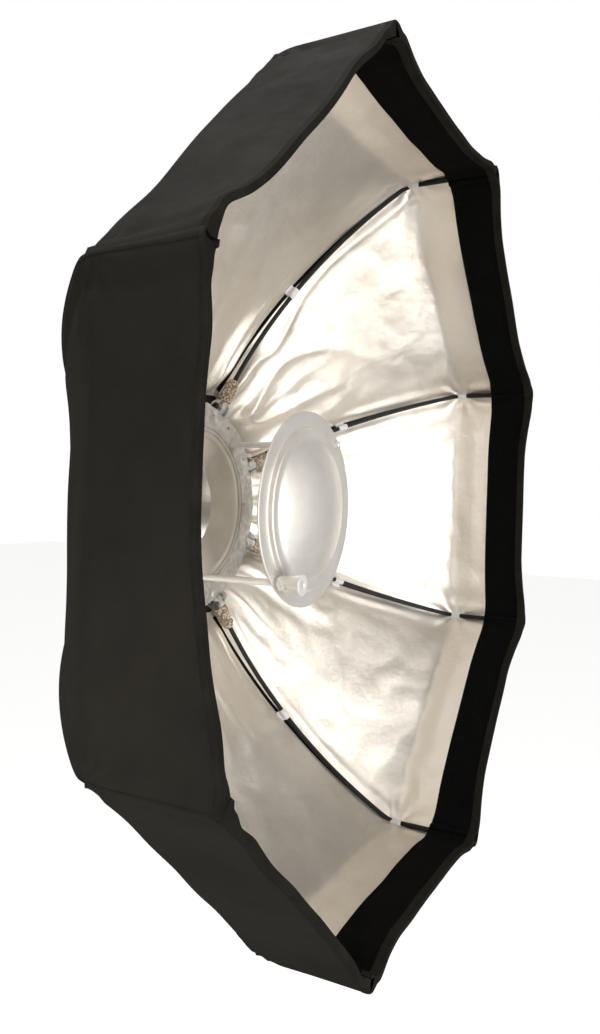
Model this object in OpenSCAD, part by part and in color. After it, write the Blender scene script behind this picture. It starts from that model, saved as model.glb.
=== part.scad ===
// Folding octagonal softbox with a hinged-rib speed ring and a deflector dish.
// Frame: +Z up, the open front faces -Y, and the origin is the middle of the
// light bore on the softbox's axis. Angles are measured in the XZ plane from +X.

/* [Overall] */
// Width of the fabric box across opposite corners
across_corners = 700; // [690:1:710]
// Distance from the front rim to the middle of the light bore
box_depth = 264; // [260:1:268]
// Depth of the straight front skirt
skirt_depth = 88; // [84:1:92]

/* [Ribs] */
// Diameter of the rib rods
rod_d = 4.5; // [4:0.1:4.7]
// Distance from the fabric's outer corner to the rod's centreline
rod_inset = 6.5; // [6.3:0.1:7]
// How far the rod bows back from its chord between socket and bend
rod_bow = 22.5; // [20:0.5:24]
// Distance that the rod's front end stops short of the rim
tip_gap = 7; // [5:1:12]
// Radius from the axis at which the rod leaves its socket's root
socket_r = 112; // [111:0.5:113]
// Distance of that root behind the front rim
socket_t = 239; // [238:0.5:240]
// Diameter of the knurled rod socket
socket_d = 13; // [12:0.5:13.5]
// Length of the knurled rod socket
socket_len = 20; // [16:1:24]
// Thickness of the hinge tongue
tongue_t = 6; // [5:0.5:6]
// Width of a ribbon loop
loop_w = 10; // [6:1:12]

/* [Fabric] */
// Thickness of the outer shell fabric with its padding
shell_t = 1.2; // [0.8:0.1:1.3]
// Thickness of the reflective lining
lining_t = 0.6; // [0.5:0.1:0.7]
// Width of the loop band inside the rim
band_w = 42; // [36:1:46]
// Corner radius of the fabric where it meets the back collar
rear_r = 118; // [117:0.5:120]
// How far the shell bows back between bend and collar
shell_bow = 22; // [21:0.5:24]

/* [Speed ring] */
// Outer diameter of the ring's plate
ring_od = 192; // [190:1:194]
// Bore of the ring, in which the insert turns
ring_id = 150; // [149:0.5:150.5]
// Thickness of the ring's plate
plate_t = 9; // [8:0.5:10]
// Radius from the axis of the rib hinge pins
pivot_r = 101; // [100.5:0.1:101.5]
// Diameter of the hinge pins
pin_d = 4; // [3.8:0.1:4.2]
// Diameter of the round clevis ears
ear_d = 16; // [14:0.5:16]
// Thickness of one clevis ear
ear_t = 4; // [3:0.5:4.5]

/* [Insert] */
// Diameter of the bore that the light's head reaches through
bore_d = 88; // [84:1:90]
// Length of the bore's straight wall
bore_len = 20; // [18:1:20]
// Outer diameter of the bayonet neck
neck_d = 98; // [96:1:100]
// Height of the bayonet tabs above the neck
tab_h = 4.5; // [3:0.5:5]

/* [Deflector] */
// Diameter of the deflector dish
dish_d = 172; // [170:1:174]
// Distance of the dish's flange behind the front rim
dish_t = 124; // [120:1:128]
// Height of the dome above its step
dome_h = 15; // [10:1:18]
// Diameter of the posts
post_d = 6; // [5.5:0.1:6.2]
// Radius from the axis of the posts
post_r = 80; // [79.8:0.1:80.4]
// Angle of the first post, the second is opposite
post_a = 48; // [44:1:50]

/* [Hidden] */
RIBS = 8;
HALF = 180 / RIBS;
RIB_PARTS = ["rod", "socket", "loops", "shell", "lining", "band"];
HUB_PARTS = ["speed_ring", "pivot_pins", "retaining_ring", "back_collar", "insert_ring",
             "lock_knob", "deflector_dish", "deflector_posts", "thumb_knob", "dish_nut"];
NODES = concat(HUB_PARTS, [for (n = [1:RIBS]) for (p = RIB_PARTS) rib_name(n, p)]);
node = "all";

function rib_name(n, p) = str("rib_", n, "_", p);
function rib_angle(n) = HALF + 360 / RIBS * (n - 1);
function wanted(name) = node == "all" || node == name;

clearance = 0.3;
run_fit = 0.05;
far = 500;
rim_y = -box_depth;
bend_y = rim_y + skirt_depth;
corner_r = across_corners / 2;
rod_r = corner_r - rod_inset;

// One arc of the rib plane, from an inner point a to an outer point b, bowed
// back by h: [centre, radius, polar angle at b, polar angle at a].
function bowed(a, b, h) =
    let (c = norm(b - a), r = (c * c / 4 + h * h) / (2 * h), u = (b - a) / c,
         back = [-u[1], u[0]], mid = (a + b) / 2, centre = mid - back * (r - h),
         middle = atan2(back[1], back[0]), half = asin(c / 2 / r))
    [centre, r, middle - half, middle + half];
function on_arc(arc, r, angle) = arc[0] + r * [cos(angle), sin(angle)];

rod_arc = bowed([socket_r, socket_t - box_depth], [rod_r, bend_y], rod_bow);
rod_tilt = rod_arc[3] - 90;
socket_dir = [cos(rod_tilt), sin(rod_tilt)];
pivot_y = socket_t - box_depth + (socket_r - pivot_r) * tan(-rod_tilt);

rear_y = -8;
shell_arc = bowed([rear_r, rear_y], [corner_r, bend_y], shell_bow);
arc_steps = 10;

// Fabric section in the rib plane, inset from the shell's outer face:
// down the skirt from the rim, then along the bowed back to the collar.
function skirt_end(inset) =
    acos((corner_r - inset - shell_arc[0][0]) / (shell_arc[1] - inset));
function back_end(inset) = acos((rear_r - shell_arc[0][0]) / (shell_arc[1] - inset));
function section(inset) = concat([[corner_r - inset, rim_y]],
    [for (k = [0:arc_steps])
        on_arc(shell_arc, shell_arc[1] - inset,
               skirt_end(inset) + (back_end(inset) - skirt_end(inset)) * k / arc_steps)]);
function reversed(list) = [for (k = [len(list) - 1:-1:0]) list[k]];
function flattened(list) = [for (p = list) [p[0] * cos(HALF), p[1]]];

ply_gap = 0.2;
lining_in = shell_t + ply_gap;
band_t = 1.2;
band_out = lining_in + lining_t + ply_gap;
pocket_d = rod_d + 2 * 0.4;
loop_t = 0.6;
inner_loop_a = 58.5;
outer_loop_in = 6.5;

plate_y = pivot_y - 5;
plate_back_y = plate_y + plate_t;
tube_od = 164;
tube_end_y = 4;
lip_id = 144;
lip_t = 3;
groove_d = 153;
clip_id = 143;
clip_t = 1;
clip_y = plate_y + 0.6;
tongue_d = 12;
slot_w = tongue_t + 0.4;
root_len = 8.6;
neck_h = 8;
hole_d = 3.2;
hole_a = 9;
head_d = 7;
head_t = 2.5;
hex_d = 3.5;

knob_y = -3;
knob_angle = -90;
lock_d = 13;
lock_stem_d = 5;
lock_len = 16;

dish_y = dish_t - box_depth;
dish_sheet = 1.5;
step_d = 143;
dome_d = 126;
step_h = 4.5;
stud_d = 4;
stud_len = 16;
seat_depth = 6;
thumb_root_d = 11;
thumb_root_len = 2.5;
thumb_knurl_d = 13;
thumb_knurl_len = 8;
thumb_d = 17.6;
thumb_len = 24;
nut_d = 7;
nut_len = 4.5;
nut_stud_len = 4;

// Puts its children in the rib plane of rib n, local +X along the rib.
module at_rib(n) rotate([0, -rib_angle(n), 0]) children();
module at_angle(a) rotate([0, -a, 0]) children();
// A cylinder along Y from y0 to y1.
module along_y(d, y0, y1, seg = 96)
    translate([0, y1, 0]) rotate([90, 0, 0]) cylinder(d = d, h = y1 - y0, $fn = seg);
// A tube along Y from y0 to y1.
module tube_y(d_out, d_in, y0, y1) difference() {
    along_y(d_out, y0, y1);
    along_y(d_in, y0 - 1, y1 + 1);
}
// Revolves a section drawn with x as radius and y along the axis.
module revolved() rotate([-90, 0, 0]) rotate_extrude($fn = 128) children();
// The space between a rib plane and the middle of the next panel.
module half_bay() translate([clearance / 2 / sin(HALF), 0, 0]) rotate([90, 0, 0])
    linear_extrude(2 * far, center = true) polygon([[0, 0], [far, 0], [far, far * tan(HALF)]]);
// A fabric ply: half a panel on each side of the rib.
module ply(outer, inner)
    for (side = [0, 1]) mirror([0, 0, side]) intersection() {
        rotate([0, -HALF, 0]) linear_extrude(2 * far, center = true)
            polygon(flattened(concat(section(outer), reversed(section(inner)))));
        half_bay();
    }
// Places its children on the rod's arc, local +X along the rod.
module on_rod(angle) translate(on_arc(rod_arc, rod_arc[1], angle)) rotate(angle - 90) children();

module rib_rod(n) color([0.06, 0.06, 0.065]) at_rib(n) {
    translate(rod_arc[0]) rotate(rod_arc[2])
        rotate_extrude(angle = rod_arc[3] - rod_arc[2], $fn = 180)
            translate([rod_arc[1], 0]) circle(d = rod_d, $fn = 24);
    translate([rod_r, bend_y, 0]) sphere(d = rod_d, $fn = 24);
    translate([rod_r, 0, 0]) along_y(rod_d, rim_y + tip_gap, bend_y, 24);
}

module rib_socket(n) color([0.80, 0.77, 0.68]) at_rib(n)
    translate([pivot_r, pivot_y, 0]) rotate(rod_tilt) difference() {
        union() {
            cylinder(d = tongue_d, h = tongue_t, center = true, $fn = 48);
            translate([0, -neck_h / 2, -tongue_t / 2]) cube([root_len + 1, neck_h, tongue_t]);
            translate([root_len, 0, 0]) rotate([0, 90, 0])
                cylinder(d = socket_d, h = socket_len, $fn = 64);
            translate([root_len + socket_len, 0, 0]) rotate([0, 90, 0])
                cylinder(d1 = socket_d - 3, d2 = rod_d + 2.5, h = 4, $fn = 64);
        }
        cylinder(d = pin_d + 2 * run_fit, h = far, center = true, $fn = 48);
        translate([socket_r - pivot_r - 1, 0, 0]) rotate([0, 90, 0])
            cylinder(d = rod_d + 1.4, h = far, $fn = 48);
    }

module loop() difference() {
    cylinder(d = pocket_d + 2 * loop_t, h = loop_w, center = true, $fn = 32);
    cylinder(d = pocket_d, h = loop_w + 1, center = true, $fn = 32);
}

// The inner loop holds the rod's arc, and the outer one holds its straight tip.
module rib_loops(n) color([0.93, 0.93, 0.92]) at_rib(n) {
    on_rod(inner_loop_a) rotate([0, 90, 0]) loop();
    translate([rod_r, bend_y - outer_loop_in, 0]) rotate([90, 0, 0]) loop();
}

module rib_shell(n) color([0.15, 0.15, 0.14]) at_rib(n) ply(0, shell_t);

module rib_lining(n) color([0.84, 0.83, 0.80]) at_rib(n) ply(lining_in, lining_in + lining_t);

module rib_band(n) color([0.02, 0.02, 0.02]) at_rib(n)
    intersection() {
        translate([0, rim_y + band_w, 0]) rotate([90, 0, 0]) linear_extrude(band_w)
            difference() {
                union() {
                    difference() {
                        circle(r = corner_r - band_out, $fn = RIBS);
                        circle(r = corner_r - band_out - band_t, $fn = RIBS);
                    }
                    translate([rod_r, 0]) circle(d = pocket_d + 2 * band_t, $fn = 48);
                }
                translate([rod_r, 0]) circle(d = pocket_d, $fn = 48);
                difference() {
                    circle(r = 2 * corner_r, $fn = RIBS);
                    circle(r = corner_r - band_out, $fn = RIBS);
                }
            }
        union() {
            half_bay();
            mirror([0, 0, 1]) half_bay();
        }
    }

// One clevis on the ring: two round ears and their root.
module lug()
    for (side = [-1, 1]) translate([0, 0, side * (slot_w + ear_t) / 2]) {
        translate([pivot_r, pivot_y, 0]) cylinder(d = ear_d, h = ear_t, center = true, $fn = 64);
        translate([88, plate_y, -ear_t / 2]) cube([pivot_r - 88, plate_t, ear_t]);
    }

module speed_ring() color([0.66, 0.65, 0.63]) difference() {
    union() {
        along_y(ring_od, plate_y, plate_back_y);
        along_y(tube_od, plate_y, tube_end_y);
        for (n = [1:RIBS]) at_rib(n) {
            lug();
        }
    }
    along_y(ring_id, plate_y - 1, tube_end_y - lip_t);
    along_y(lip_id, plate_y - 1, tube_end_y + 1);
    along_y(groove_d, clip_y - 0.1, clip_y + clip_t + 0.1);
    for (n = [1:RIBS]) at_rib(n) {
        translate([pivot_r - tongue_d / 2 - 1, -far / 2, -slot_w / 2]) cube([far, far, slot_w]);
        translate([pivot_r, pivot_y, 0]) cylinder(d = pin_d, h = 40, center = true, $fn = 48);
    }
    for (n = [1:RIBS], side = [-1, 1]) at_angle(rib_angle(n) + side * hole_a)
        translate([89, 0, 0]) along_y(hole_d, plate_y - 1, plate_back_y + 1, 32);
    for (side = [0, 180]) at_angle(post_a + side)
        translate([post_r, 0, 0]) along_y(post_d + 2 * run_fit, plate_y - 1, plate_y + seat_depth, 48);
    at_angle(knob_angle) translate([60, knob_y, 0]) rotate([0, 90, 0])
        cylinder(d = lock_stem_d + 2 * run_fit, h = 40, $fn = 48);
}

module pivot_pins() color([0.25, 0.25, 0.26]) for (n = [1:RIBS]) at_rib(n)
    translate([pivot_r, pivot_y, 0]) difference() {
        union() {
            cylinder(d = pin_d, h = slot_w + 2 * ear_t, center = true, $fn = 48);
            translate([0, 0, slot_w / 2 + ear_t]) cylinder(d = head_d, h = head_t, $fn = 48);
        }
        translate([0, 0, slot_w / 2 + ear_t + 1]) cylinder(d = hex_d, h = head_t, $fn = 6);
    }

module retaining_ring() color([0.2, 0.2, 0.2]) difference() {
    tube_y(groove_d - 0.4, clip_id, clip_y, clip_y + clip_t);
    at_angle(90) translate([clip_id / 2 - 2, clip_y - 1, -4]) cube([10, clip_t + 2, 8]);
}

module back_collar() color([0.12, 0.12, 0.12]) difference() {
    translate([0, -10.8, 0]) rotate([90, 0, 0]) rotate(HALF)
        linear_extrude(shell_t) circle(r = rear_r - 1, $fn = RIBS);
    along_y(tube_od + 2 * clearance, -20, 0);
}

module insert_ring() color([0.82, 0.80, 0.74]) {
    body_d = ring_id - 0.2;
    front_y = clip_y + clip_t + 0.1;
    back_y = tube_end_y - lip_t - 0.2;
    cone_r = 66;
    rim_in = 71;
    difference() {
        union() {
            along_y(body_d, front_y, back_y);
            along_y(neck_d, front_y, bore_len / 2);
            for (k = [0:2]) at_angle(90 + 120 * k) intersection() {
                along_y(neck_d + 2 * tab_h, bore_len / 2 - 4, bore_len / 2);
                translate([0, -far / 2, -12]) cube([far, far, 24]);
            }
        }
        along_y(bore_d, front_y - 1, bore_len / 2 + 1);
        revolved() polygon([[0, front_y - 1], [cone_r + 1, front_y - 1], [cone_r, front_y],
                            [cone_r - 4, front_y + 2.5], [bore_d / 2, -bore_len / 2],
                            [0, -bore_len / 2]]);
        // The recess behind the cone and the groove that the lock bites in.
        revolved() polygon([[neck_d / 2, back_y + 1], [rim_in, back_y + 1], [rim_in, front_y + 4],
                            [cone_r + 2, front_y + 4], [neck_d / 2, 1 - bore_len / 2]]);
        translate([0, knob_y, 0]) tube_y(body_d + 4, body_d - 3, -3, 3);
    }
}

module lock_knob() color([0.08, 0.08, 0.08]) at_angle(knob_angle)
    translate([0, knob_y, 0]) rotate([0, 90, 0]) {
        translate([0, 0, tube_od / 2 - 7 + clearance])
            cylinder(d = lock_stem_d, h = 7 + 4, $fn = 48);
        difference() {
            translate([0, 0, tube_od / 2 + 4]) cylinder(d = lock_d, h = lock_len, $fn = 64);
            for (k = [0:7]) rotate(45 * k) translate([lock_d / 2 + 0.6, 0, tube_od / 2 + 4 + 3])
                cylinder(d = 3, h = lock_len, $fn = 24);
        }
    }

module deflector_dish() color([0.80, 0.80, 0.80]) {
    foot_r = dome_d / 2 - 1;
    ball_r = (foot_r * foot_r + dome_h * dome_h) / (2 * dome_h);
    base_y = dish_y - step_h;
    difference() {
        revolved() {
            translate([step_d / 2 - dish_sheet, dish_y - dish_sheet])
                square([dish_d / 2 - step_d / 2 + dish_sheet, dish_sheet]);
            translate([step_d / 2 - dish_sheet, base_y - dish_sheet])
                square([dish_sheet, step_h + dish_sheet]);
            translate([dome_d / 2 - dish_sheet, base_y - dish_sheet])
                square([step_d / 2 - dome_d / 2 + dish_sheet, dish_sheet]);
            intersection() {
                translate([0, base_y - dish_sheet - dome_h + ball_r]) difference() {
                    circle(r = ball_r, $fn = 256);
                    circle(r = ball_r - dish_sheet, $fn = 256);
                }
                translate([0, base_y - dome_h - 5]) square([foot_r, dome_h + 5]);
            }
        }
        for (side = [0, 180]) at_angle(post_a + side) translate([post_r, 0, 0])
            along_y(stud_d + 0.4, dish_y - 5, dish_y + 5, 48);
    }
}

// Two posts, each with a stud through the dish's flange: a long one for the
// thumb knob and a short one for the nut.
module deflector_posts() color([0.88, 0.88, 0.87]) for (side = [0, 1])
    at_angle(post_a + 180 * side) translate([post_r, 0, 0]) {
        along_y(post_d, dish_y, plate_y + seat_depth - 0.2, 48);
        along_y(stud_d, dish_y - (side == 0 ? nut_stud_len : stud_len), dish_y + 1, 48);
    }

module thumb_knob() color([0.86, 0.82, 0.72]) at_angle(post_a + 180) translate([post_r, 0, 0]) {
    seat_y = dish_y - dish_sheet - 0.1;
    knurl_y = seat_y - thumb_root_len;
    cap_y = knurl_y - thumb_knurl_len;
    difference() {
        union() {
            along_y(thumb_root_d, knurl_y, seat_y, 64);
            along_y(thumb_knurl_d, cap_y, knurl_y, 64);
            translate([0, cap_y, 0]) rotate([90, 0, 0])
                cylinder(d1 = thumb_knurl_d, d2 = thumb_d, h = thumb_len - thumb_root_len - thumb_knurl_len, $fn = 64);
        }
        along_y(stud_d + 2 * run_fit, dish_y - stud_len - 1, dish_y + 1, 48);
    }
}

module dish_nut() color([0.88, 0.88, 0.87]) at_angle(post_a) translate([post_r, 0, 0]) {
    seat_y = dish_y - dish_sheet - 0.1;
    difference() {
        along_y(nut_d, seat_y - nut_len, seat_y, 64);
        along_y(stud_d + 2 * run_fit, dish_y - nut_stud_len - 0.2, dish_y + 1, 48);
    }
}

if (wanted("speed_ring")) speed_ring();
if (wanted("pivot_pins")) pivot_pins();
if (wanted("retaining_ring")) retaining_ring();
if (wanted("back_collar")) back_collar();
if (wanted("insert_ring")) insert_ring();
if (wanted("lock_knob")) lock_knob();
if (wanted("deflector_dish")) deflector_dish();
if (wanted("deflector_posts")) deflector_posts();
if (wanted("thumb_knob")) thumb_knob();
if (wanted("dish_nut")) dish_nut();
for (n = [1:RIBS]) {
    if (wanted(rib_name(n, "rod"))) rib_rod(n);
    if (wanted(rib_name(n, "socket"))) rib_socket(n);
    if (wanted(rib_name(n, "loops"))) rib_loops(n);
    if (wanted(rib_name(n, "shell"))) rib_shell(n);
    if (wanted(rib_name(n, "lining"))) rib_lining(n);
    if (wanted(rib_name(n, "band"))) rib_band(n);
}
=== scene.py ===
"""Looks of a folding octagonal softbox: sewn shell and lining, rods, speed ring and deflector dish.

Row frame, in metres: +Z up, the open front faces -Y, the axis is Y, and the origin is the middle of
the light bore. Rib angles are measured in the XZ plane from +X.
"""
import math

import bmesh
import bpy
import numpy as np
from mathutils import Matrix, Vector, noise


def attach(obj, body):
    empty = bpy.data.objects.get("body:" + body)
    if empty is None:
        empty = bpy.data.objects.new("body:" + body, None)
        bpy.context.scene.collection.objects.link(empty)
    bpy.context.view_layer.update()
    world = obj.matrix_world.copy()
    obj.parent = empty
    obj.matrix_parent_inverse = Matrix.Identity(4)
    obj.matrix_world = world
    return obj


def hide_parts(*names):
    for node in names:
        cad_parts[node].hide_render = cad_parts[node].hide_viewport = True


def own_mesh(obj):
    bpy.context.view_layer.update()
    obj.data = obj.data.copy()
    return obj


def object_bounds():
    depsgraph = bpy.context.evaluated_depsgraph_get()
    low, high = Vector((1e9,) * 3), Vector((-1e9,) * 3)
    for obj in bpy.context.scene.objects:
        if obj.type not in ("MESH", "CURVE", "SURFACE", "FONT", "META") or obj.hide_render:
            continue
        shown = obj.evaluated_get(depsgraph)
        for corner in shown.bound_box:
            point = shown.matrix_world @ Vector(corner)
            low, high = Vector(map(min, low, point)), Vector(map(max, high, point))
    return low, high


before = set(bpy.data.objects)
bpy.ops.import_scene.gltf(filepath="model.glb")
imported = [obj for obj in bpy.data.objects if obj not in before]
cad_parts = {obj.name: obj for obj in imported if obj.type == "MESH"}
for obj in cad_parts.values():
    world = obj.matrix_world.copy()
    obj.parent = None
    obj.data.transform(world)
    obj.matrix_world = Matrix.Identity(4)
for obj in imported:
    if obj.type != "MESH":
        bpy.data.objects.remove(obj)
CAD_BOX = [[float(x) for x in corner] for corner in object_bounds()]

# ---------------- dimensions
RIBS = 8
HALF = math.pi / RIBS
RIM_Y = CAD_BOX[0][1]
CORNER_R = CAD_BOX[1][0] / math.cos(HALF)
BEND_Y = RIM_Y + 0.088
REAR_R = 0.118
REAR_Y = -0.008
SHELL_BOW = 0.022
ROD_D = 0.0045
ROD_INSET = 0.0065
ROD_R = CORNER_R - ROD_INSET
ROD_BOW = 0.0225
SOCKET_R = 0.112
SOCKET_Y = RIM_Y + 0.239
PIVOT_R = 0.101
ROOT_LEN = 0.0086
SOCKET_LEN = 0.020
SOCKET_D = 0.013
BAND_W = 0.042
BINDING_W = 0.0065
PLATE_Y = SOCKET_Y - 0.00213  # the front of the ring's plate
DISH_Y = RIM_Y + 0.124
DISH_R = 0.086
DISH_SHEET = 0.0015
POST_CIRCLE = 0.080
POST_ANGLE = math.radians(48)
SEAT_Y = DISH_Y - 0.0016  # where the thumb knob and the nut sit on the dish
CENTRE = 0.00002  # the radius of a point on a lathe's axis, kept just off it


def rib_angle(n):
    return HALF + 2 * math.pi / RIBS * (n - 1)


def rib_side(n):
    """The direction square to rib n's plane."""
    return Vector((-math.sin(rib_angle(n)), 0, math.cos(rib_angle(n))))


def bowed(a, b, bow):
    """The arc from a to b, bowed back: centre, radius, and the polar angles of a and b."""
    a, b = np.array(a), np.array(b)
    chord = np.linalg.norm(b - a)
    radius = (chord * chord / 4 + bow * bow) / (2 * bow)
    along = (b - a) / chord
    back = np.array([-along[1], along[0]])
    centre = (a + b) / 2 - back * (radius - bow)
    middle = math.atan2(back[1], back[0])
    half = math.asin(chord / 2 / radius)
    return centre, radius, middle + half, middle - half


def on_arc(centre, radius, turn):
    return centre + radius * np.stack([np.cos(turn), np.sin(turn)], -1)


def smoothed(line, kernel):
    """A line of points averaged with its neighbours; the kernel's reach is lost at each end."""
    return np.stack([np.convolve(line[:, i], kernel, "valid") for i in (0, 1)], 1)


ROD_ARC = bowed((SOCKET_R, SOCKET_Y), (ROD_R, BEND_Y), ROD_BOW)
ROD_TILT = ROD_ARC[2] - math.pi / 2
PIVOT_Y = SOCKET_Y + (SOCKET_R - PIVOT_R) * math.tan(-ROD_TILT)


# ---------------- camera, light and floor
LENS_MM = 28.3
SENSOR_MM = 36.0
CAMERA_PLACE = (-0.6348, RIM_Y - 0.200, 0.022)
CAMERA_AZIMUTH, CAMERA_ELEVATION, CAMERA_ROLL = (math.radians(x) for x in (-62.5, 2.3, 1.3))
WORLD_TINT = (1.0, 0.985, 0.96, 1)
WORLD_STRENGTH = 0.13
FLOOR_REACH, FLOOR_LEVEL = 16.0, -1.7
FLOOR_COLOUR = (0.95, 0.95, 0.945)
SUN_STRENGTH = 2.9
SUN_SPREAD = math.radians(40)
SUN_TILT = (math.radians(-8), math.radians(-10), 0)
KEY_TINT = (1.0, 0.985, 0.955)
LIGHTS = (  # name, place, target, diameter, power in watts, colour
    ("front_key", (-0.35, -3.1, 0.30), (0.0, -0.1, 0.0), 2.3, 60, KEY_TINT),
    ("low_key", (-0.45, -2.2, -0.9), (0.1, -0.1, 0.1), 1.0, 24, KEY_TINT),
    ("left_fill", (-2.4, -0.9, 0.9), (-0.1, -0.1, 0.0), 1.1, 22, (1.0, 0.975, 0.945)),
    ("low_fill", (-1.5, 0.05, -0.85), (-0.2, -0.1, -0.2), 1.0, 20, (1.0, 0.95, 0.90)),
)


def link_object(name, data):
    """A new object in the scene for some data."""
    thing = bpy.data.objects.new(name, data)
    bpy.context.scene.collection.objects.link(thing)
    return thing


def make_camera():
    """A camera low at the left, looking across the open front."""
    data = bpy.data.cameras.new("camera")
    data.lens = LENS_MM
    data.sensor_width = SENSOR_MM
    data.clip_start = 0.02
    camera = link_object("camera", data)
    azimuth, elevation, roll = CAMERA_AZIMUTH, CAMERA_ELEVATION, CAMERA_ROLL
    back = Vector((math.sin(azimuth) * math.cos(elevation),
                   -math.cos(azimuth) * math.cos(elevation), math.sin(elevation)))
    level = Vector((math.cos(azimuth), math.sin(azimuth), 0))
    upright = back.cross(level)
    right = math.cos(roll) * level + math.sin(roll) * upright
    up = math.cos(roll) * upright - math.sin(roll) * level
    turn = Matrix((right, up, back)).transposed()
    camera.matrix_world = Matrix.Translation(Vector(CAMERA_PLACE)) @ turn.to_4x4()
    bpy.context.scene.camera = camera


def area_light(name, place, target, size, power, colour):
    data = bpy.data.lights.new(name, "AREA")
    data.shape = "DISK"
    data.size = size
    data.energy = power
    data.color = colour
    light = link_object(name, data)
    aim = Vector(target) - Vector(place)
    light.rotation_euler = aim.to_track_quat("-Z", "Y").to_euler()
    light.location = place


def make_world():
    """A weak even light all round, with plain white where the camera sees past the floor."""
    world = bpy.data.worlds.new("studio")
    world.use_nodes = True
    nodes, links = world.node_tree.nodes, world.node_tree.links
    sky = nodes["Background"]
    sky.inputs["Color"].default_value = WORLD_TINT
    sky.inputs["Strength"].default_value = WORLD_STRENGTH
    backdrop = nodes.new("ShaderNodeBackground")
    backdrop.inputs["Color"].default_value = (1, 1, 1, 1)
    backdrop.inputs["Strength"].default_value = 1.0
    either = nodes.new("ShaderNodeMixShader")
    seen = nodes.new("ShaderNodeLightPath")
    links.new(seen.outputs["Is Camera Ray"], either.inputs[0])
    links.new(sky.outputs[0], either.inputs[1])
    links.new(backdrop.outputs[0], either.inputs[2])
    links.new(either.outputs[0], nodes["World Output"].inputs[0])
    bpy.context.scene.world = world
    bpy.context.scene.view_settings.view_transform = "Standard"


def make_floor():
    """A pale floor that catches light but throws none back onto the object."""
    mesh = bpy.data.meshes.new("floor")
    corners = [(x * FLOOR_REACH, y * FLOOR_REACH, FLOOR_LEVEL)
               for x, y in ((-1, -1), (1, -1), (1, 1), (-1, 1))]
    mesh.from_pydata(corners, [], [(0, 1, 2, 3)])
    mesh.materials.append(Paint("floor", Base_Color=FLOOR_COLOUR, Roughness=0.9).finish())
    floor = link_object("floor", mesh)
    floor.visible_diffuse = False
    floor.visible_glossy = False


def make_lights():
    for light in LIGHTS:
        area_light(*light)
    sun = bpy.data.lights.new("overhead", "SUN")
    sun.energy = SUN_STRENGTH
    sun.angle = SUN_SPREAD
    link_object("overhead", sun).rotation_euler = SUN_TILT


# ---------------- materials
class Paint:
    """A node material built step by step around one Principled shader.

    Noise is in object coordinates, in metres. The UV maps are laid out in metres too.
    """

    def __init__(self, name, **values):
        self.material = bpy.data.materials.new(name)
        self.material.use_nodes = True
        self.tree = self.material.node_tree
        self.shader = self.tree.nodes["Principled BSDF"]
        self.coords = self.tree.nodes.new("ShaderNodeTexCoord")
        for key, value in values.items():
            colour = isinstance(value, tuple)
            self.shader.inputs[key.replace("_", " ")].default_value = (*value, 1) if colour else value

    def node(self, kind, **inputs):
        node = self.tree.nodes.new(kind)
        for key, value in inputs.items():
            socket = node.inputs[key.replace("_", " ")]
            if isinstance(value, bpy.types.NodeSocket):
                self.tree.links.new(value, socket)
            else:
                socket.default_value = value
        return node

    def noise(self, scale, detail=3.0, roughness=0.55):
        return self.node("ShaderNodeTexNoise", Vector=self.coords.outputs["Object"], Scale=scale,
                         Detail=detail, Roughness=roughness).outputs["Fac"]

    def cells(self, scale):
        return self.node("ShaderNodeTexVoronoi", Vector=self.coords.outputs["Object"],
                         Scale=scale).outputs["Distance"]

    def ribs(self, pitch, direction):
        """Ridges at a pitch across one direction of the UV map."""
        node = self.node("ShaderNodeTexWave", Vector=self.coords.outputs["UV"], Scale=0.5 / pitch)
        node.bands_direction = direction
        return node.outputs["Fac"]

    def product(self, a, b):
        node = self.tree.nodes.new("ShaderNodeMath")
        node.operation = "MULTIPLY"
        self.tree.links.new(a, node.inputs[0])
        self.tree.links.new(b, node.inputs[1])
        return node.outputs[0]

    def bump(self, height, distance, under=None):
        inputs = {"Height": height, "Distance": distance, "Strength": 1.0}
        if under is not None:
            inputs["Normal"] = under
        return self.node("ShaderNodeBump", **inputs).outputs["Normal"]

    def weave(self, pitch, depth, under=None):
        """A plain weave: two crossed sets of ridges, one thread to each."""
        return self.bump(self.product(self.ribs(pitch, "X"), self.ribs(pitch, "Y")), depth, under)

    def colour(self, value, low, high, low_at=0.35, high_at=0.65):
        """Blends the base colour from low to high."""
        node = self.node("ShaderNodeValToRGB", Fac=value)
        ends = node.color_ramp.elements
        ends[0].position, ends[1].position = low_at, high_at
        ends[0].color, ends[1].color = (*low, 1), (*high, 1)
        self.tree.links.new(node.outputs["Color"], self.shader.inputs["Base Color"])

    def rough(self, value, low, high):
        """Blends the roughness from low to high."""
        node = self.node("ShaderNodeMapRange", Value=value, From_Min=0.3, From_Max=0.7, To_Min=low,
                         To_Max=high)
        self.tree.links.new(node.outputs["Result"], self.shader.inputs["Roughness"])

    def finish(self, normal=None):
        if normal is not None:
            self.tree.links.new(normal, self.shader.inputs["Normal"])
        return self.material


WARM = (1.0, 0.90, 0.80)  # the tint of what black cloth reflects
NYLON_THREAD = 0.0007
LINING_THREAD = 0.0005
RIBBON_THREAD = 0.0006
BINDING_RIB = 0.0011


def black_nylon():
    paint = Paint("black_nylon", Roughness=0.62, Sheen_Weight=0.01, Sheen_Roughness=0.5,
                  Sheen_Tint=(0.9, 0.86, 0.8), Specular_IOR_Level=0.16, Specular_Tint=WARM)
    paint.colour(paint.noise(9, 4), (0.0078, 0.0078, 0.0064), (0.0125, 0.0118, 0.0098))
    paint.rough(paint.noise(40), 0.62, 0.80)
    crinkle = paint.bump(paint.noise(160, 4, 0.6), 0.00025)
    return paint.finish(paint.weave(NYLON_THREAD, 0.00012, crinkle))


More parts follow.
